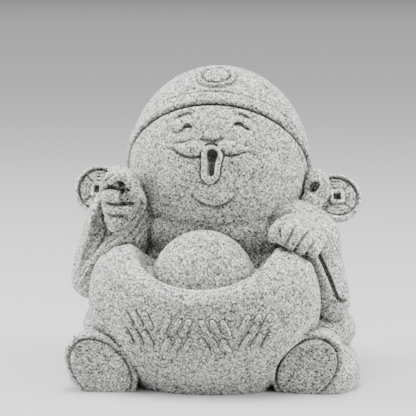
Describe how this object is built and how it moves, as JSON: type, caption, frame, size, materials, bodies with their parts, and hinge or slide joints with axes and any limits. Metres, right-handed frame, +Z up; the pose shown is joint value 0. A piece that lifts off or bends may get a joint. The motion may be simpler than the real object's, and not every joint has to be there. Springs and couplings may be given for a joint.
{
  "type": "tea pet figurine",
  "caption": "Small cast stone tea pet: a round-headed seated doll in a cap and wide sleeves behind a big boat-shaped ingot, with a coin at each ear and soles facing forward.",
  "frame": {"origin": "middle of the bounding box, on the flat underside", "axes": "+Z up, the figure faces -Y and +X is its left hand's side, which is the right of someone facing it"},
  "size_m": [0.086, 0.0684, 0.09],
  "materials": {
    "speckled_grey_stone": "matt, fine salt-and-pepper grain"
  },
  "bodies": {
    "root": {"figure": "speckled_grey_stone"}
  },
  "joints": []
}
